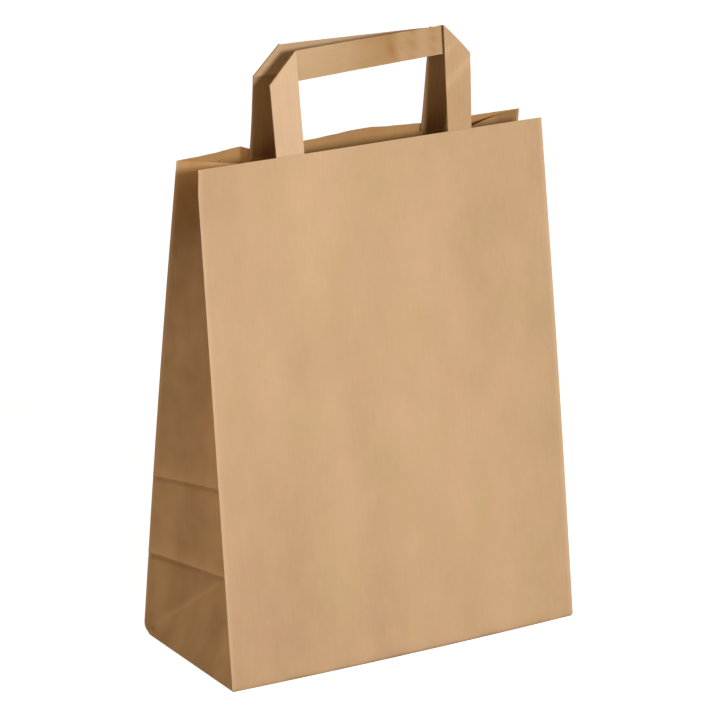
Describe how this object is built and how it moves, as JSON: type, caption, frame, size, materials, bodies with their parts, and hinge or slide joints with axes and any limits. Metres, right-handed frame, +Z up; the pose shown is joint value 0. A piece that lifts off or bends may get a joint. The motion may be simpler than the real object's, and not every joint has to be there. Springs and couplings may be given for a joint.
{
  "type": "paper carrier bag",
  "caption": "Kraft paper carrier bag with side gussets, a folded block bottom and two flat folded handles.",
  "frame": {"origin": "centre of the underside, where the bag stands", "axes": "+X along the front panel, +Y from the front panel to the back panel, +Z up to the handles"},
  "size_m": [0.2402, 0.1101, 0.3699],
  "materials": {
    "kraft_body": "uncoated brown kraft paper, ribbed by fine fibres",
    "kraft_tape": "several plies of brown kraft paper glued into a flat tape",
    "kraft_patch": "uncoated brown kraft paper glued inside the bag"
  },
  "bodies": {
    "root": {"bag_body": "kraft_body", "front_handle": "kraft_tape", "rear_handle": "kraft_tape", "front_handle_patch": "kraft_patch", "rear_handle_patch": "kraft_patch"}
  },
  "joints": []
}
